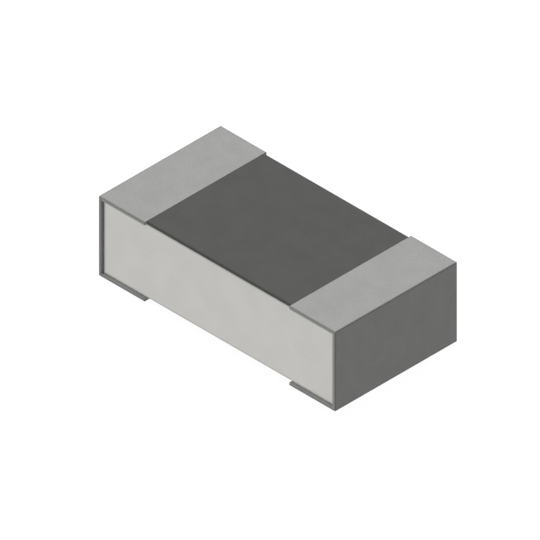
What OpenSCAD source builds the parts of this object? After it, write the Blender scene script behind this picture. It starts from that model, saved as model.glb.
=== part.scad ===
// Surface-mount chip resistor: a ceramic block with a printed and laser-trimmed resistive film,
// two coats over it, and a plated terminal that wraps the top, the end and the bottom at each end.
// Millimetres. The origin is the centre of the chip, the point that it is placed by.
// +X runs along the chip and +Z points up, away from the board.

/* [Chip] */
// Overall length, over both terminals
chip_length = 1.55; // [1.2:0.01:2.2]
// Overall width, over the terminals
chip_width = 0.8; // [0.6:0.01:1.4]
// Overall height, over the terminals
chip_height = 0.45; // [0.25:0.01:0.8]

/* [Terminals] */
// Length of a terminal on the top face
top_terminal = 0.3; // [0.15:0.01:0.4]
// Length of a terminal on the seating face
bottom_terminal = 0.3; // [0.15:0.01:0.5]
// Thickness of the printed inner electrodes
electrode_t = 0.005; // [0.003:0.0005:0.012]
// Thickness of the nickel barrier
nickel_t = 0.004; // [0.002:0.0005:0.01]
// Thickness of the tin plating on the flat faces
tin_t = 0.0085; // [0.004:0.0005:0.02]
// Thickness of the tin along the long sides, where plating builds up over the layers' edges
tin_side_t = 0.0155; // [0.008:0.0005:0.03]
// Radius of the plating's outer edges
edge_radius = 0.004; // [0.001:0.0005:0.01]

/* [Resistive film] */
// Thickness of the film
film_t = 0.0045; // [0.002:0.0005:0.01]
// Length of film that lies on each electrode
film_lap = 0.05; // [0.02:0.005:0.1]
// Length of the slope where the film climbs onto an electrode
film_step = 0.012; // [0.005:0.001:0.03]
// Bare ceramic beside the film along each long side
film_side_margin = 0.11; // [0.06:0.005:0.2]
// How far an electrode's tongue reaches past the film on each side
tongue_side = 0.04; // [0.01:0.005:0.05]

/* [Laser trim] */
// Width of the cut
trim_kerf = 0.035; // [0.015:0.005:0.06]
// Width of film left whole beside the cut
trim_uncut = 0.24; // [0.1:0.01:0.35]
// Film between the cut and each electrode
trim_end_gap = 0.15; // [0.05:0.01:0.18]

/* [Coats] */
// Thickness of the glass over the film
glass_t = 0.004; // [0.001:0.0005:0.01]
// How far the glass reaches past the film on every side
glass_overhang = 0.025; // [0.01:0.005:0.05]
// Thickness of the overcoat above the highest glass
overcoat_t = 0.004; // [0.001:0.0005:0.02]
// How far the overcoat reaches past the ends of the glass
overcoat_margin = 0.03; // [0.01:0.005:0.06]

/* [Hidden] */
$fn = 48;

// Plating on the electrodes, and a terminal's whole thickness on the ceramic
plating_t = nickel_t + tin_t;
terminal_t = electrode_t + plating_t;

// Ceramic block, which the terminals enclose
substrate_length = chip_length - 2 * terminal_t;
substrate_width = chip_width - 2 * tin_side_t;
substrate_height = chip_height - 2 * terminal_t;
substrate_top = substrate_height / 2;
substrate_bottom = -substrate_top;

// Lengths along the top face, from the overcoat inwards
coat_length = chip_length - 2 * top_terminal;
glass_length = coat_length - 2 * overcoat_margin;
film_length = glass_length - 2 * glass_overhang;
electrode_gap = film_length - 2 * film_lap;

// Widths across the top face
film_width = substrate_width - 2 * film_side_margin;
glass_width = film_width + 2 * glass_overhang;
tongue_width = film_width + 2 * tongue_side;

// Height of the coats above the ceramic, and where a bottom electrode ends
coat_height = electrode_t + film_t + glass_t + overcoat_t;
bottom_electrode_end = -chip_length / 2 + bottom_terminal - plating_t;

// How far a cut reaches past the faces that it opens
cut_past = 0.01;

// The trim cut runs in from the front edge and turns along the chip
trim_half_run = electrode_gap / 2 - trim_end_gap;
trim_turn_y = film_width / 2 - trim_uncut - trim_kerf / 2;

CERAMIC = [0.75, 0.75, 0.73];
SILVER = [0.8, 0.79, 0.76];
FILM_BLACK = [0.16, 0.15, 0.15];
GLASS_GREEN = [0.5, 0.58, 0.5, 0.7];
COAT_GREY = [0.37, 0.37, 0.36];
NICKEL = [0.62, 0.6, 0.55];
TIN = [0.65, 0.65, 0.64];

// A rectangle on the plan from one X to another, centred across the chip
module strip(from_x, to_x, width) {
    translate([from_x, -width / 2])
        square([to_x - from_x, width]);
}

// Stands a side-view outline up and gives it a width across the chip
module across(width) {
    rotate([90, 0, 0])
        linear_extrude(width, center = true)
            children();
}

// The same piece at the other end of the chip
module at_right() {
    mirror([1, 0, 0])
        children();
}

// Side view of the left terminal with a thickness of plating on its electrodes
module terminal_outline(plating) {
    outer = -substrate_length / 2 - electrode_t - plating;
    low = substrate_bottom - electrode_t - plating;
    high = substrate_top + electrode_t + plating;
    bottom_end = bottom_electrode_end + plating;
    polygon([
        [outer, low],
        [bottom_end, low],
        [bottom_end, substrate_bottom],
        [-substrate_length / 2, substrate_bottom],
        [-substrate_length / 2, substrate_top],
        [-coat_length / 2, substrate_top],
        [-coat_length / 2, high],
        [outer, high]
    ]);
}

// A rectangle centred on the origin, with its corners rounded
module rounded_rectangle(length, width, radius) {
    square([length - 2 * radius, width], center = true);
    square([length, width - 2 * radius], center = true);
    for (x = [-1, 1], y = [-1, 1])
        translate([x * (length / 2 - radius), y * (width / 2 - radius)])
            circle(radius);
}

// The outside of both terminals, with every outer edge rounded
module plated_envelope() {
    intersection() {
        linear_extrude(chip_height, center = true)
            rounded_rectangle(chip_length, chip_width, edge_radius);
        across(chip_width)
            rounded_rectangle(chip_length, chip_height, edge_radius);
        rotate([90, 0, 90])
            linear_extrude(chip_length, center = true)
                rounded_rectangle(chip_width, chip_height, edge_radius);
    }
}

// The left electrode as printed: a full-width pad with a narrower tongue that the coats seal in
module left_electrode_print() {
    strip(-substrate_length / 2, -coat_length / 2, substrate_width);
    strip(-substrate_length / 2, -electrode_gap / 2, tongue_width);
}

// Room for both top electrodes in what is printed over them
module electrode_room() {
    translate([0, 0, substrate_top - cut_past])
        linear_extrude(electrode_t + cut_past) {
            left_electrode_print();
            at_right() left_electrode_print();
        }
}

// A printed layer in side view, level between the electrodes and lifted where it lies on them
module printed_layer(length, width, rise, below = 0) {
    end = length / 2;
    base = substrate_top - below;
    foot = electrode_gap / 2 - film_step;
    level = substrate_top + rise;
    lifted = level + electrode_t;
    across(width)
        polygon([
            [-end, base],
            [end, base],
            [end, lifted],
            [electrode_gap / 2, lifted],
            [foot, level],
            [-foot, level],
            [-electrode_gap / 2, lifted],
            [-end, lifted]
        ]);
}

// The film as printed, before it is trimmed
module untrimmed_film(below = 0) {
    printed_layer(film_length, film_width, film_t, below);
}

// The glass with the film under it, before both are trimmed
module untrimmed_glass(below = 0) {
    printed_layer(glass_length, glass_width, film_t + glass_t, below);
}

// The laser's L-shaped path, through the glass and the film down to the ceramic
module trim_cut(below = cut_past) {
    start_x = -trim_half_run - trim_kerf / 2;
    start_y = -glass_width / 2 - cut_past;
    translate([0, 0, substrate_top - below])
        linear_extrude(coat_height + below) {
            translate([start_x, start_y])
                square([trim_kerf, trim_turn_y + trim_kerf / 2 - start_y]);
            translate([start_x, trim_turn_y - trim_kerf / 2])
                square([2 * trim_half_run + trim_kerf, trim_kerf]);
        }
}

module ceramic_substrate() {
    color(CERAMIC)
        translate([0, 0, substrate_bottom])
            linear_extrude(substrate_height)
                strip(-substrate_length / 2, substrate_length / 2, substrate_width);
}

module left_top_electrode() {
    color(SILVER)
        translate([0, 0, substrate_top])
            linear_extrude(electrode_t)
                left_electrode_print();
}

module right_top_electrode() {
    at_right() left_top_electrode();
}

module left_bottom_electrode() {
    color(SILVER)
        translate([0, 0, substrate_bottom - electrode_t])
            linear_extrude(electrode_t)
                strip(-substrate_length / 2, bottom_electrode_end, substrate_width);
}

module right_bottom_electrode() {
    at_right() left_bottom_electrode();
}

// Joins the top and bottom electrodes over the end of the ceramic
module left_end_electrode() {
    color(SILVER)
        translate([0, 0, substrate_bottom - electrode_t])
            linear_extrude(substrate_height + 2 * electrode_t)
                strip(-substrate_length / 2 - electrode_t, -substrate_length / 2, substrate_width);
}

module right_end_electrode() {
    at_right() left_end_electrode();
}

module resistive_film() {
    color(FILM_BLACK)
        difference() {
            untrimmed_film();
            electrode_room();
            trim_cut();
        }
}

module glass_undercoat() {
    color(GLASS_GREEN)
        difference() {
            untrimmed_glass();
            untrimmed_film(cut_past);
            electrode_room();
            trim_cut();
        }
}

// Flat on top and as wide as the ceramic; it fills the trim cut and seals the tongues
module protective_overcoat() {
    color(COAT_GREY)
        difference() {
            translate([0, 0, substrate_top])
                linear_extrude(coat_height)
                    strip(-coat_length / 2, coat_length / 2, substrate_width);
            difference() {
                untrimmed_glass(cut_past);
                trim_cut(2 * cut_past);
            }
            electrode_room();
        }
}

module left_nickel_barrier() {
    color(NICKEL)
        across(substrate_width)
            difference() {
                terminal_outline(nickel_t);
                terminal_outline(0);
            }
}

module right_nickel_barrier() {
    at_right() left_nickel_barrier();
}

// Covers the nickel's outside and closes over the edges of every layer along the long sides
module left_tin_plating() {
    color(TIN)
        difference() {
            intersection() {
                plated_envelope();
                across(chip_width) terminal_outline(plating_t);
            }
            across(substrate_width) terminal_outline(nickel_t);
        }
}

module right_tin_plating() {
    at_right() left_tin_plating();
}

ceramic_substrate();
left_top_electrode();
right_top_electrode();
left_bottom_electrode();
right_bottom_electrode();
left_end_electrode();
right_end_electrode();
resistive_film();
glass_undercoat();
protective_overcoat();
left_nickel_barrier();
right_nickel_barrier();
left_tin_plating();
right_tin_plating();
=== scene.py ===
"""Looks of a surface-mount chip resistor: matte tin terminals, a dark coat and a bare alumina block."""
import math

import bmesh
import bpy
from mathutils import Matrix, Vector


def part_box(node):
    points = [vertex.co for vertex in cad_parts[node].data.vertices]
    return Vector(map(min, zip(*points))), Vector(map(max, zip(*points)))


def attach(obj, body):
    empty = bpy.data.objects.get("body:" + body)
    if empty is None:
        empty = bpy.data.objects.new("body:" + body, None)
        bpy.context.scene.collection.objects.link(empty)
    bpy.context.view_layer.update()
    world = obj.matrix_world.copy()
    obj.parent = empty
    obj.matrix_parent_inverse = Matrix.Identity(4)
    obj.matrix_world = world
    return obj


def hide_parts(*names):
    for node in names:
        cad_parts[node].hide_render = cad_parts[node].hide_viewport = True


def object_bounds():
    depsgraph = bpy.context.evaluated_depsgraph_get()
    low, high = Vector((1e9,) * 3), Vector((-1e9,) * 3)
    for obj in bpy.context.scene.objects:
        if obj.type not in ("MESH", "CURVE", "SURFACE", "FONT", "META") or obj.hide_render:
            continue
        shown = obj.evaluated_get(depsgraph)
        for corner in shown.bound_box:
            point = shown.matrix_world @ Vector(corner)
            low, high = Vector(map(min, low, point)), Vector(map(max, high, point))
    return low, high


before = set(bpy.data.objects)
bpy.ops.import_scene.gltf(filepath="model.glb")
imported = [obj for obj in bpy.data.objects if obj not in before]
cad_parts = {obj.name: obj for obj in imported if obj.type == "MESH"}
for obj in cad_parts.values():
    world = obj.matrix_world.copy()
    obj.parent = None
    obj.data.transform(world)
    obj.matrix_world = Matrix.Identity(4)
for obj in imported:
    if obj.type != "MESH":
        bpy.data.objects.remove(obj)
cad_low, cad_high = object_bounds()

# Units: the frame is in metres, and the geometry trees work in millimetres
MM = 0.001
MICRON = 0.000001

# Alumina block: its mesh, then its finish
CERAMIC_EDGE = 3 * MICRON
CERAMIC_CELL = 10 * MICRON
CERAMIC_RELIEF = 0.5 * MICRON
CERAMIC_RELIEF_SIZE = 32 * MICRON
CERAMIC_RELIEF_SEED = 4.0
CERAMIC_GRAIN = 5 * MICRON
CERAMIC_CLOUD = 140 * MICRON
CERAMIC_PORE_SPACING = 26 * MICRON
# Width of the worn edges, and of the painted shade along the ends where the tin meets the block
CERAMIC_WEAR_AND_SHADE = 14 * MICRON
CERAMIC_WEAR_SHARE = 0.7
CERAMIC_END_SHARE = 0.85

# Dark coat: its mesh, then its finish
COAT_EDGE = 3 * MICRON
COAT_EDGE_STEPS = 3
MERGE_DISTANCE = 0.01 * MICRON
FLAT_ANGLE = math.radians(1)
COAT_SPECK = 6 * MICRON
COAT_CLOUD = 90 * MICRON
COAT_PEEL = 24 * MICRON

# Tin plating: its mesh, then its finish
TIN_EDGE = 4 * MICRON
TIN_CRYSTAL = 7 * MICRON
TIN_CLOUD = 110 * MICRON
TIN_TARNISH = 9 * MICRON
TIN_TARNISH_SHARE = 0.55
END_TARNISH = 10 * MICRON
END_TARNISH_SHARE = 0.72
FOOT_TARNISH = 17 * MICRON
FOOT_TARNISH_SHARE = 0.8
# Painted shade where the tin meets the corners of the ceramic's ends
SEAM_SHADE_SHARE = 0.8
SEAM_FULL = 0.3
SEAM_END_BLEND = 0.2
# Painted shade on the left terminal's wall beside the ceramic's left end
LEFT_SIDE_SHADE_SHARE = 0.5

# Steps round each softened edge of the block and of the plating
EDGE_STEPS = 4

# Spots of the hidden layers' finishes
SILVER_PORE = 6 * MICRON
NICKEL_NODULE = 9 * MICRON
INK_MOTTLE = 12 * MICRON
GLASS_FLOW = 60 * MICRON

# Noise: the range that most of it falls in, its middle, and the detail of plain and of fine spots
NOISE_LOW = 0.3
NOISE_HIGH = 0.7
NOISE_MIDDLE = 0.5
PLAIN_DETAIL = 2.0
FINE_DETAIL = 3.0

# Places of a colour mix node's sockets
MIX_FACTOR = 0
MIX_FIRST = 6
MIX_SECOND = 7
MIX_RESULT = 2

# Camera: an isometric view from the front right, a little off the chip's centre
VIEW_WIDTH = 2.5025 * MM
VIEW_FROM = Vector((1, -1, 1)).normalized()
VIEW_DISTANCE = 10 * MM
AIM_RIGHT = -0.0366 * MM
AIM_UP = -0.0063 * MM
CLIP_NEAR = 0.01 * MM
CLIP_FAR = 200 * MM

# Floor and lights
WHITE = (1, 1, 1, 1)
FLOOR_REACH = 60 * MM
FLOOR_DROP = 1 * MICRON
FLOOR_TONE = 0.10
FLOOR_GLOW = 0.94
SKY_STRENGTH = 0.262
BACKDROP_STRENGTH = 1.0
TOP_STRENGTH = 1.52
TOP_FROM = Vector((-0.25, 0.35, 0.9))
TOP_SOFTNESS = math.radians(40)
FRONT_STRENGTH = 1.52
FRONT_FROM = Vector((0.3, -1, 0.25))
FRONT_SOFTNESS = math.radians(50)
BACK_STRENGTH = 0.7
BACK_FROM = Vector((-0.4, 1, 0))
BACK_SOFTNESS = math.radians(20)

# The chip is centred on the origin, so the highest corner of a centred block is also its half size
chip_half = cad_high
ceramic_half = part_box("ceramic_substrate")[1]

scene = bpy.context.scene


# Small helpers for node trees

def plug(tree, socket, value):
    """Links another node's output to a socket, or sets the socket to a plain value."""
    if isinstance(value, bpy.types.NodeSocket):
        tree.links.new(value, socket)
    else:
        socket.default_value = value


def add(tree, kind, inputs=None, **settings):
    """Adds a node with its settings and its inputs."""
    node = tree.nodes.new(kind)
    for name, value in settings.items():
        setattr(node, name, value)
    for key, value in (inputs or {}).items():
        plug(tree, node.inputs[key], value)
    return node


def number(tree, operation, *values):
    """One step of arithmetic on numbers."""
    inputs = dict(enumerate(values))
    return add(tree, "ShaderNodeMath", inputs, operation=operation).outputs["Value"]


def largest(tree, *values):
    """The largest of several numbers."""
    most = values[0]
    for value in values[1:]:
        most = number(tree, "MAXIMUM", most, value)
    return most


def vector(tree, operation, *values):
    """One step of arithmetic on vectors."""
    inputs = dict(enumerate(values))
    return add(tree, "ShaderNodeVectorMath", inputs, operation=operation).outputs["Vector"]


def scaled(tree, value, factor):
    """A vector times a number."""
    inputs = {"Vector": value, "Scale": factor}
    return add(tree, "ShaderNodeVectorMath", inputs, operation="SCALE").outputs["Vector"]


def split(tree, value):
    """A vector's three numbers, by name."""
    return add(tree, "ShaderNodeSeparateXYZ", {"Vector": value}).outputs


# Parts of materials

def new_material(name, **sockets):
    """A material whose even values are set on the shader's own sockets."""
    material = bpy.data.materials.new(name)
    material.use_nodes = True
    tree = material.node_tree
    shader = tree.nodes["Principled BSDF"]
    for key, value in sockets.items():
        shader.inputs[key.replace("_", " ").title()].default_value = value
    return material, tree, shader


def object_place(tree):
    """Each point's place on the chip, in metres from its centre."""
    return add(tree, "ShaderNodeTexCoord").outputs["Object"]


def grain(tree, size, detail=PLAIN_DETAIL):
    """Noise whose spots are about that many metres across."""
    inputs = {"Vector": object_place(tree), "Scale": 1 / size, "Detail": detail}
    return add(tree, "ShaderNodeTexNoise", inputs).outputs["Fac"]


def shade_range(tree, value, low, high, start, end):
    """Brings a stretch of a value to a new range, with soft ends."""
    inputs = {"Value": value, "From Min": low, "From Max": high, "To Min": start, "To Max": end}
    return add(tree, "ShaderNodeMapRange", inputs, interpolation_type="SMOOTHSTEP").outputs["Result"]


def clouds(tree, size):
    """Wide soft spots, from zero to one."""
    return shade_range(tree, grain(tree, size), NOISE_LOW, NOISE_HIGH, 0.0, 1.0)


def blend(tree, factor, first, second):
    """A colour between two, by a factor."""
    inputs = {MIX_FACTOR: factor, MIX_FIRST: first, MIX_SECOND: second}
    return add(tree, "ShaderNodeMix", inputs, data_type="RGBA").outputs[MIX_RESULT]


def paint(tree, shader, colour):
    """Gives the shader its colour."""
    plug(tree, shader.inputs["Base Color"], colour)


def roughen(tree, shader, spots, smooth, rough, low=NOISE_LOW, high=NOISE_HIGH):
    """Lets the shader's roughness follow a stretch of some spots."""
    plug(tree, shader.inputs["Roughness"], shade_range(tree, spots, low, high, smooth, rough))


def bump(tree, shader, height, distance, strength):
    """Turns a height into fine relief in the shading."""
    inputs = {"Height": height, "Distance": distance, "Strength": strength}
    plug(tree, shader.inputs["Normal"], add(tree, "ShaderNodeBump", inputs).outputs["Normal"])


# Masks for wear, tarnish and painted shade

def depths(tree, half_size):
    """How far each point lies below the three pairs of faces of a centred block of that half size."""
    return split(tree, vector(tree, "SUBTRACT", half_size, vector(tree, "ABSOLUTE", object_place(tree))))


def fading(tree, depth, width, share):
    """A share where a depth is nothing, fading to zero at a width."""
    return shade_range(tree, depth, 0.0, width, share, 0.0)


def edge_mask(tree, half_size, width, share):
    """Follows all edges of a centred block, where two of the three depths are nothing."""
    depth = depths(tree, half_size)
    lower = number(tree, "MINIMUM", depth["X"], depth["Y"])
    upper = number(tree, "MAXIMUM", depth["X"], depth["Y"])
    middle = number(tree, "MAXIMUM", lower, number(tree, "MINIMUM", upper, depth["Z"]))
    return fading(tree, middle, width, share)


def end_edge_mask(tree, half_size, width, share):
    """Follows the four edges of each end of a centred block."""
    depth = depths(tree, half_size)
    beside = number(tree, "MINIMUM", depth["Y"], depth["Z"])
    return fading(tree, number(tree, "MAXIMUM", depth["X"], beside), width, share)


def foot_mask(tree, half_size, width, share):
    """Follows the two long lower edges of a centred block."""
    height = number(tree, "ADD", split(tree, object_place(tree))["Z"], half_size.z)
    depth = depths(tree, half_size)["Y"]
    return fading(tree, number(tree, "MAXIMUM", depth, height), width, share)


def seam_shade_mask(tree, half_size, width, share):
    """Painted shade: fills the corners at the ends of a centred block's long sides, and fades out at a width
    from it.
    """
    past = split(tree, vector(tree, "SUBTRACT", vector(tree, "ABSOLUTE", object_place(tree)), half_size))
    away = largest(tree, past["X"], past["Y"], past["Z"])
    beside = shade_range(tree, away, SEAM_FULL * width, width, share, 0.0)
    at_end = shade_range(tree, past["X"], -SEAM_END_BLEND * width, 0.0, 0.0, 1.0)
    return number(tree, "MULTIPLY", beside, at_end)


def left_side_shade_mask(tree, half_size, width, share):
    """Painted shade over what stands past a centred block's left end, strongest beside it, and fading out at
    a width.
    """
    place = split(tree, object_place(tree))
    past_end = number(tree, "SUBTRACT", -half_size.x, place["X"])
    past_height = number(tree, "SUBTRACT", number(tree, "ABSOLUTE", place["Z"]), half_size.z)
    beside = fading(tree, largest(tree, past_end, past_height), width, share)
    at_end = shade_range(tree, past_end, -SEAM_END_BLEND * width, 0.0, 0.0, 1.0)
    return number(tree, "MULTIPLY", beside, at_end)


# Materials

def matte_tin():
    """Matte tin plating: fine crystals, soft clouds, tarnished edges and feet, and painted shade at the
    seams beside the ceramic and on the left terminal's wall.
    """
    dark = (0.399, 0.399, 0.391, 1)
    light = (0.430, 0.430, 0.421, 1)
    crystal = (0.35, 0.35, 0.345, 1)
    tarnish_and_shade_grey = (0.10, 0.10, 0.098, 1)
    side_t = chip_half.y - ceramic_half.y
    end_t = chip_half.x - ceramic_half.x
    material, tree, shader = new_material("matte_tin", metallic=0.35)
    crystals = grain(tree, TIN_CRYSTAL, FINE_DETAIL)
    plain = blend(tree, clouds(tree, TIN_CLOUD), dark, light)
    facets = shade_range(tree, crystals, low=0.35, high=0.65, start=0.0, end=0.5)
    grained = blend(tree, facets, plain, crystal)
    edges = edge_mask(tree, chip_half, TIN_TARNISH, TIN_TARNISH_SHARE)
    ends = end_edge_mask(tree, chip_half, END_TARNISH, END_TARNISH_SHARE)
    feet = foot_mask(tree, chip_half, FOOT_TARNISH, FOOT_TARNISH_SHARE)
    # painted shade where the tin meets the corners of the ceramic's ends
    seam_shade = seam_shade_mask(tree, ceramic_half, side_t, SEAM_SHADE_SHARE)
    # painted shade on the left terminal's wall beside the ceramic
    left_side_shade = left_side_shade_mask(tree, ceramic_half, end_t, LEFT_SIDE_SHADE_SHARE)
    # tarnish on edges, ends and feet, together with the painted shade at the seams and the left wall
    tarnish_and_shade_share = largest(tree, edges, ends, feet, seam_shade, left_side_shade)
    paint(tree, shader, blend(tree, tarnish_and_shade_share, grained, tarnish_and_shade_grey))
    roughen(tree, shader, crystals, smooth=0.52, rough=0.66)
    bump(tree, shader, crystals, distance=0.6 * MICRON, strength=0.5)
    return material


def overcoat_resin():
    """Dark filled resin: semi-matte, with fine filler specks and a faint orange peel."""
    dark = (0.068, 0.068, 0.065, 1)
    light = (0.076, 0.076, 0.073, 1)
    filler = (0.13, 0.13, 0.126, 1)
    material, tree, shader = new_material("overcoat_resin")
    specks = grain(tree, COAT_SPECK, FINE_DETAIL)
    plain = blend(tree, clouds(tree, COAT_CLOUD), dark, light)
    bright = shade_range(tree, specks, low=0.55, high=0.75, start=0.0, end=0.5)
    paint(tree, shader, blend(tree, bright, plain, filler))
    roughen(tree, shader, specks, smooth=0.53, rough=0.58, low=0.4)
    bump(tree, shader, grain(tree, COAT_PEEL), distance=0.8 * MICRON, strength=0.2)
    return material


def alumina():
    """Sintered alumina: warm white, finely granular, with a few open pores, worn edges, and painted shade
    along its ends where the tin meets it.
    """
    dark = (0.746, 0.738, 0.703, 1)
    light = (0.784, 0.775, 0.738, 1)
    shadow = (0.66, 0.65, 0.62, 1)
    wear = (0.42, 0.41, 0.39, 1)
    painted_end_shade = (0.24, 0.235, 0.225, 1)
    material, tree, shader = new_material("alumina", roughness=0.75)
    grains = grain(tree, CERAMIC_GRAIN, FINE_DETAIL)
    plain = blend(tree, clouds(tree, CERAMIC_CLOUD), dark, light)
    gaps = shade_range(tree, grains, low=0.35, high=0.65, start=0.35, end=0.0)
    grained = blend(tree, gaps, plain, shadow)
    inputs = {"Vector": object_place(tree), "Scale": 1 / CERAMIC_PORE_SPACING}
    pores = add(tree, "ShaderNodeTexVoronoi", inputs).outputs["Distance"]
    holes = shade_range(tree, pores, low=0.05, high=0.12, start=0.45, end=0.0)
    edges = edge_mask(tree, ceramic_half, CERAMIC_WEAR_AND_SHADE, CERAMIC_WEAR_SHARE)
    # painted shade along the block's ends, where the tin meets it
    ends = end_edge_mask(tree, ceramic_half, CERAMIC_WEAR_AND_SHADE, CERAMIC_END_SHARE)
    worn = blend(tree, largest(tree, holes, edges), grained, wear)
    paint(tree, shader, blend(tree, ends, worn, painted_end_shade))
    bump(tree, shader, grains, distance=0.7 * MICRON, strength=0.5)
    return material


def silver_film():
    """Fired silver print, pale and slightly porous."""
    material, tree, shader = new_material("silver_film", metallic=0.8)
    pores = grain(tree, SILVER_PORE, FINE_DETAIL)
    paint(tree, shader, blend(tree, pores, (0.62, 0.61, 0.57, 1), (0.78, 0.77, 0.73, 1)))
    roughen(tree, shader, pores, smooth=0.5, rough=0.7)
    bump(tree, shader, pores, distance=0.5 * MICRON, strength=0.3)
    return material


def nickel():
    """Electroplated nickel, warm grey and satin."""
    material, tree, shader = new_material("nickel", metallic=0.9)
    nodules = grain(tree, NICKEL_NODULE)
    paint(tree, shader, blend(tree, nodules, (0.48, 0.45, 0.40, 1), (0.58, 0.55, 0.50, 1)))
    roughen(tree, shader, nodules, smooth=0.35, rough=0.5)
    bump(tree, shader, nodules, distance=0.4 * MICRON, strength=0.3)
    return material


def resistive_ink():
    """Fired resistive print, black and finely mottled."""
    material, tree, shader = new_material("resistive_ink")
    mottle = grain(tree, INK_MOTTLE, FINE_DETAIL)
    paint(tree, shader, blend(tree, mottle, (0.02, 0.02, 0.02, 1), (0.06, 0.058, 0.055, 1)))
    roughen(tree, shader, mottle, smooth=0.35, rough=0.55)
    bump(tree, shader, mottle, distance=0.5 * MICRON, strength=0.3)
    return material


def green_glass():
    """Thin fired glass, greenish and glossy."""
    material, tree, shader = new_material("green_glass", roughness=0.15)
    flow = grain(tree, GLASS_FLOW)
    paint(tree, shader, blend(tree, flow, (0.20, 0.27, 0.20, 1), (0.27, 0.34, 0.26, 1)))
    bump(tree, shader, flow, distance=0.5 * MICRON, strength=0.2)
    return material


def pale_floor():
    """Near-white floor that shows no underside, so the chip can be seen from below."""
    tone = (FLOOR_TONE, FLOOR_TONE, FLOOR_TONE, 1)
    glow = {"emission_color": WHITE, "emission_strength": FLOOR_GLOW}
    material, tree, shader = new_material("pale_floor", base_color=tone, roughness=0.9, **glow)
    clear = add(tree, "ShaderNodeBsdfTransparent").outputs["BSDF"]
    underside = add(tree, "ShaderNodeNewGeometry").outputs["Backfacing"]
    inputs = {0: underside, 1: shader.outputs["BSDF"], 2: clear}
    mixed = add(tree, "ShaderNodeMixShader", inputs).outputs["Shader"]
    tree.links.new(mixed, tree.nodes["Material Output"].inputs["Surface"])
    return material


# Geometry trees

BLOCK_INPUTS = {
    "Half Size": "Vector", "Edge Radius": "Float", "Flat Share": "Vector",
    "Vertices X": "Int", "Vertices Y": "Int", "Vertices Z": "Int", "Material": "Material"}
RELIEF_INPUTS = {"Relief Height": "Float", "Relief Size": "Float", "Seed": "Float"}
TERMINAL_INPUTS = {
    "Keep Low": "Vector", "Keep High": "Vector", "Ceramic Low": "Vector", "Ceramic High": "Vector",
    "Nickel Low": "Vector", "Nickel High": "Vector", "Open Low": "Vector", "Open High": "Vector",
    "Turn": "Vector"}


def new_tree(name, inputs):
    """An empty geometry tree with named inputs, and its input sockets by name."""
    tree = bpy.data.node_groups.new(name, "GeometryNodeTree")
    for label, kind in inputs.items():
        tree.interface.new_socket(label, in_out="INPUT", socket_type="NodeSocket" + kind)
    tree.interface.new_socket("Geometry", in_out="OUTPUT", socket_type="NodeSocketGeometry")
    return tree, add(tree, "NodeGroupInput").outputs


def end_tree(tree, geometry, material):
    """Brings millimetres to metres, makes instances real and gives the material."""
    small = add(tree, "GeometryNodeTransform", {"Geometry": geometry, "Scale": (MM, MM, MM)})
    real = add(tree, "GeometryNodeRealizeInstances", {"Geometry": small.outputs["Geometry"]})
    inputs = {"Geometry": real.outputs["Geometry"], "Material": material}
    dressed = add(tree, "GeometryNodeSetMaterial", inputs)
    add(tree, "NodeGroupOutput", {"Geometry": dressed.outputs["Geometry"]})


def grid_cube(tree, given):
    """A cube from -1 to 1 with a grid on every face."""
    inputs = {axis: given[axis] for axis in ("Vertices X", "Vertices Y", "Vertices Z")}
    return add(tree, "GeometryNodeMeshCube", {"Size": (2, 2, 2), **inputs}).outputs["Mesh"]


def rounding(tree, given):
    """Slides each point of a grid cube to the flats or the rounded edges of a block. Gives its place on the
    inner block that the edge radius goes round, and its outward direction."""
    place = add(tree, "GeometryNodeInputPosition").outputs["Position"]
    side = vector(tree, "SIGN", place)
    share = vector(tree, "ABSOLUTE", place)
    flat_share = given["Flat Share"]
    flat_half = vector(tree, "SUBTRACT", given["Half Size"], given["Edge Radius"])
    along_flat = vector(tree, "MINIMUM", vector(tree, "DIVIDE", share, flat_share), (1, 1, 1))
    past_flat = vector(tree, "SUBTRACT", share, flat_share)
    round_share = vector(tree, "SUBTRACT", (1, 1, 1), flat_share)
    lip = vector(tree, "MAXIMUM", vector(tree, "DIVIDE", past_flat, round_share), (0, 0, 0))
    inner = vector(tree, "MULTIPLY", side, vector(tree, "MULTIPLY", along_flat, flat_half))
    outward = vector(tree, "NORMALIZE", vector(tree, "MULTIPLY", side, lip))
    return inner, outward


def moved_to(tree, mesh, place):
    """A mesh with its points at new places."""
    node = add(tree, "GeometryNodeSetPosition", {"Geometry": mesh, "Position": place})
    return node.outputs["Geometry"]


def softened_block_tree():
    """A block with rounded edges and a faint relief along each point's outward direction."""
    tree, given = new_tree("softened_block", {**BLOCK_INPUTS, **RELIEF_INPUTS})
    inner, outward = rounding(tree, given)
    surface = vector(tree, "ADD", inner, scaled(tree, outward, given["Edge Radius"]))
    fineness = number(tree, "DIVIDE", 1.0, given["Relief Size"])
    inputs = {"Vector": surface, "W": given["Seed"], "Scale": fineness}
    waves = add(tree, "ShaderNodeTexNoise", inputs, noise_dimensions="4D").outputs["Fac"]
    lift = number(tree, "MULTIPLY", number(tree, "SUBTRACT", waves, NOISE_MIDDLE), given["Relief Height"])
    reach = number(tree, "ADD", given["Edge Radius"], lift)
    block = moved_to(tree, grid_cube(tree, given), vector(tree, "ADD", inner, scaled(tree, outward, reach)))
    end_tree(tree, block, given["Material"])
    return tree


def box_between(tree, low, high):
    """A plain box between two corners, for cutting."""
    size = vector(tree, "SUBTRACT", high, low)
    middle = scaled(tree, vector(tree, "ADD", low, high), 0.5)
    cube = add(tree, "GeometryNodeMeshCube", {"Size": size})
    moved = add(tree, "GeometryNodeTransform", {"Geometry": cube.outputs["Mesh"], "Translation": middle})
    return moved.outputs["Geometry"]


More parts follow.
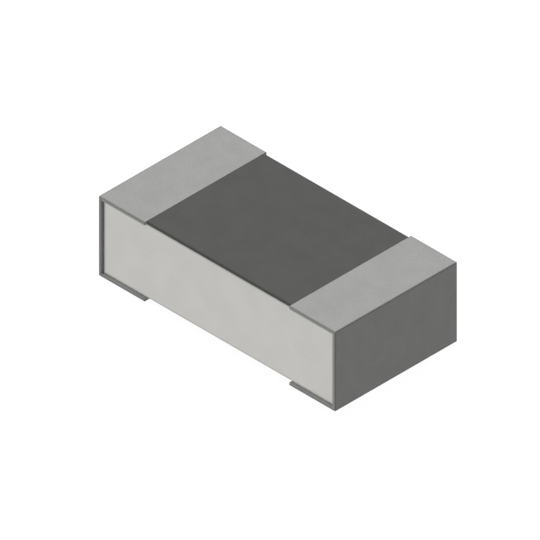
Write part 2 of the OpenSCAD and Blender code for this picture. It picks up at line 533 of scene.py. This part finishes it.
def plated_terminal_tree():
    """The tin at the left end: a rounded skin over the whole chip, kept over one terminal's length, with the
    ceramic's and the nickel's room taken out. A half turn about Z gives the right end."""
    tree, given = new_tree("plated_terminal", {**BLOCK_INPUTS, **TERMINAL_INPUTS})
    inner, outward = rounding(tree, given)
    outside = vector(tree, "ADD", inner, scaled(tree, outward, given["Edge Radius"]))
    skin = moved_to(tree, grid_cube(tree, given), outside)
    kept = add(tree, "GeometryNodeMeshBoolean", operation="INTERSECT", solver="EXACT")
    tree.links.new(skin, kept.inputs["Mesh 2"])
    tree.links.new(box_between(tree, given["Keep Low"], given["Keep High"]), kept.inputs["Mesh 2"])
    whole = {"Mesh 1": kept.outputs["Mesh"]}
    shell = add(tree, "GeometryNodeMeshBoolean", whole, operation="DIFFERENCE", solver="EXACT")
    for room in ("Ceramic", "Nickel", "Open"):
        cutter = box_between(tree, given[room + " Low"], given[room + " High"])
        tree.links.new(cutter, shell.inputs["Mesh 2"])
    inputs = {"Geometry": shell.outputs["Mesh"], "Rotation": given["Turn"]}
    turned = add(tree, "GeometryNodeTransform", inputs)
    end_tree(tree, turned.outputs["Geometry"], given["Material"])
    return tree


def grow(name, tree, values):
    """Runs a geometry tree with these inputs and keeps the result as a plain mesh."""
    piece = bpy.data.objects.new(name, bpy.data.meshes.new(name))
    scene.collection.objects.link(piece)
    modifier = piece.modifiers.new(name, "NODES")
    modifier.node_group = tree
    for item in tree.interface.items_tree:
        if item.in_out == "INPUT":
            modifier[item.identifier] = values[item.name]
    evaluated = piece.evaluated_get(bpy.context.evaluated_depsgraph_get())
    piece.data = bpy.data.meshes.new_from_object(evaluated)
    piece.modifiers.clear()
    return piece


def in_mm(place):
    """A place or size of the frame in the trees' millimetres."""
    return [value / MM for value in place]


def block_values(half_size, edge_radius, flat_cells):
    """Inputs of a rounded block with that many grid cells along its flats."""
    counts = [2 * EDGE_STEPS + cells for cells in flat_cells]
    return {
        "Half Size": in_mm(half_size),
        "Edge Radius": edge_radius / MM,
        "Flat Share": [cells / count for cells, count in zip(flat_cells, counts)],
        "Vertices X": counts[0] + 1,
        "Vertices Y": counts[1] + 1,
        "Vertices Z": counts[2] + 1,
    }


# Pieces

def place_piece(piece, node):
    """A finished piece stands for its CAD node, which it hides, and rides on the only body."""
    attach(piece, "root")
    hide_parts(node)


def make_ceramic_block(material):
    """The alumina block, with its broken edges softened and its sintered faces a little uneven."""
    flat_cells = [round(2 * half / CERAMIC_CELL) for half in ceramic_half]
    block = grow("ceramic_block", softened_block_tree(), {
        **block_values(ceramic_half, CERAMIC_EDGE, flat_cells),
        "Relief Height": CERAMIC_RELIEF / MM,
        "Relief Size": CERAMIC_RELIEF_SIZE / MM,
        "Seed": CERAMIC_RELIEF_SEED,
        "Material": material,
    })
    block.data.shade_smooth()
    place_piece(block, "ceramic_substrate")


def make_terminal(name, node, tree, turn, material):
    """One terminal's tin skin, made at the left end and turned to its own."""
    ceramic_low, ceramic_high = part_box("ceramic_substrate")
    nickel_low, nickel_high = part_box("left_nickel_barrier")
    nickel_t = nickel_high.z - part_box("left_top_electrode")[1].z
    foot_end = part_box("left_bottom_electrode")[1].x + nickel_t
    tin_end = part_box("left_tin_plating")[1].x
    past = cad_high.y
    piece = grow(name, tree, {
        **block_values(chip_half, TIN_EDGE, (1, 1, 1)),
        "Keep Low": in_mm((cad_low.x - past, cad_low.y - past, cad_low.z - past)),
        "Keep High": in_mm((tin_end, cad_high.y + past, cad_high.z + past)),
        "Ceramic Low": in_mm((ceramic_low.x, cad_low.y - past, ceramic_low.z)),
        "Ceramic High": in_mm((ceramic_high.x, cad_high.y + past, ceramic_high.z)),
        "Nickel Low": in_mm(nickel_low),
        "Nickel High": in_mm((foot_end, nickel_high.y, nickel_high.z)),
        "Open Low": in_mm((ceramic_low.x, nickel_low.y, 0)),
        "Open High": in_mm((ceramic_high.x, nickel_high.y, nickel_high.z)),
        "Turn": (0, 0, turn),
        "Material": material,
    })
    place_piece(piece, node)


def make_overcoat(material):
    """The dark coat: the CAD solid with the rim of its top face rounded."""
    shape = bmesh.new()
    shape.from_mesh(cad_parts["protective_overcoat"].data)
    bmesh.ops.remove_doubles(shape, verts=shape.verts, dist=MERGE_DISTANCE)
    bmesh.ops.dissolve_limit(shape, angle_limit=FLAT_ANGLE, verts=shape.verts, edges=shape.edges)
    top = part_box("protective_overcoat")[1].z
    rim = [edge for edge in shape.edges if all(abs(v.co.z - top) < MERGE_DISTANCE for v in edge.verts)]
    bmesh.ops.bevel(shape, geom=rim, offset=COAT_EDGE, segments=COAT_EDGE_STEPS, profile=0.5, affect="EDGES")
    mesh = bpy.data.meshes.new("dark_overcoat")
    shape.to_mesh(mesh)
    shape.free()
    mesh.materials.append(material)
    coat = bpy.data.objects.new("dark_overcoat", mesh)
    scene.collection.objects.link(coat)
    place_piece(coat, "protective_overcoat")


def dress_node(node, material):
    """Gives a CAD node that stays its finished material."""
    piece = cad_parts[node]
    piece.data.materials.clear()
    piece.data.materials.append(material)


# Studio

def make_floor():
    """A wide pale floor under the seating face, kept out of the light that reaches the chip."""
    level = cad_low.z - FLOOR_DROP
    corners = [(x * FLOOR_REACH, y * FLOOR_REACH, level) for x, y in ((-1, -1), (1, -1), (1, 1), (-1, 1))]
    mesh = bpy.data.meshes.new("floor")
    mesh.from_pydata(corners, [], [(0, 1, 2, 3)])
    mesh.materials.append(pale_floor())
    floor = bpy.data.objects.new("floor", mesh)
    scene.collection.objects.link(floor)
    floor.visible_diffuse = False
    floor.visible_glossy = False
    floor.visible_shadow = False


def make_sun(name, strength, towards, softness):
    """A soft, distant light that shines from a direction."""
    sun = bpy.data.lights.new(name, "SUN")
    sun.energy = strength
    sun.angle = softness
    lamp = bpy.data.objects.new(name, sun)
    lamp.rotation_euler = towards.to_track_quat("Z", "Y").to_euler()
    scene.collection.objects.link(lamp)


def even_light(tree, strength):
    """White light of one strength from all round."""
    inputs = {"Color": WHITE, "Strength": strength}
    return add(tree, "ShaderNodeBackground", inputs).outputs["Background"]


def make_sky():
    """Even light from all round, before a white backdrop."""
    world = bpy.data.worlds.new("sky")
    world.use_nodes = True
    tree = world.node_tree
    seen = add(tree, "ShaderNodeLightPath").outputs["Is Camera Ray"]
    inputs = {0: seen, 1: even_light(tree, SKY_STRENGTH), 2: even_light(tree, BACKDROP_STRENGTH)}
    mixed = add(tree, "ShaderNodeMixShader", inputs).outputs["Shader"]
    tree.links.new(mixed, tree.nodes["World Output"].inputs["Surface"])
    scene.world = world


def make_camera():
    """A parallel view, as the photograph has."""
    lens = bpy.data.cameras.new("camera")
    lens.type = "ORTHO"
    lens.ortho_scale = VIEW_WIDTH
    lens.clip_start = CLIP_NEAR
    lens.clip_end = CLIP_FAR
    camera = bpy.data.objects.new("camera", lens)
    turn = VIEW_FROM.to_track_quat("Z", "Y")
    aim = (cad_low + cad_high) / 2 + turn @ Vector((AIM_RIGHT, AIM_UP, 0))
    camera.location = aim + VIEW_FROM * VIEW_DISTANCE
    camera.rotation_euler = turn.to_euler()
    scene.collection.objects.link(camera)
    scene.camera = camera


# The chip's visible pieces

make_ceramic_block(alumina())
make_overcoat(overcoat_resin())
tin = matte_tin()
terminal_tree = plated_terminal_tree()
make_terminal("left_tin_skin", "left_tin_plating", terminal_tree, 0.0, tin)
make_terminal("right_tin_skin", "right_tin_plating", terminal_tree, math.pi, tin)

# The layers inside

silver = silver_film()
barrier = nickel()
for end in ("left", "right"):
    for face in ("top", "bottom", "end"):
        dress_node(f"{end}_{face}_electrode", silver)
    dress_node(f"{end}_nickel_barrier", barrier)
dress_node("resistive_film", resistive_ink())
dress_node("glass_undercoat", green_glass())

# The studio, with colours shown as they are set

make_camera()
make_floor()
make_sky()
make_sun("top_light", TOP_STRENGTH, TOP_FROM, TOP_SOFTNESS)
make_sun("front_light", FRONT_STRENGTH, FRONT_FROM, FRONT_SOFTNESS)
make_sun("back_light", BACK_STRENGTH, BACK_FROM, BACK_SOFTNESS)
scene.view_settings.view_transform = "Standard"
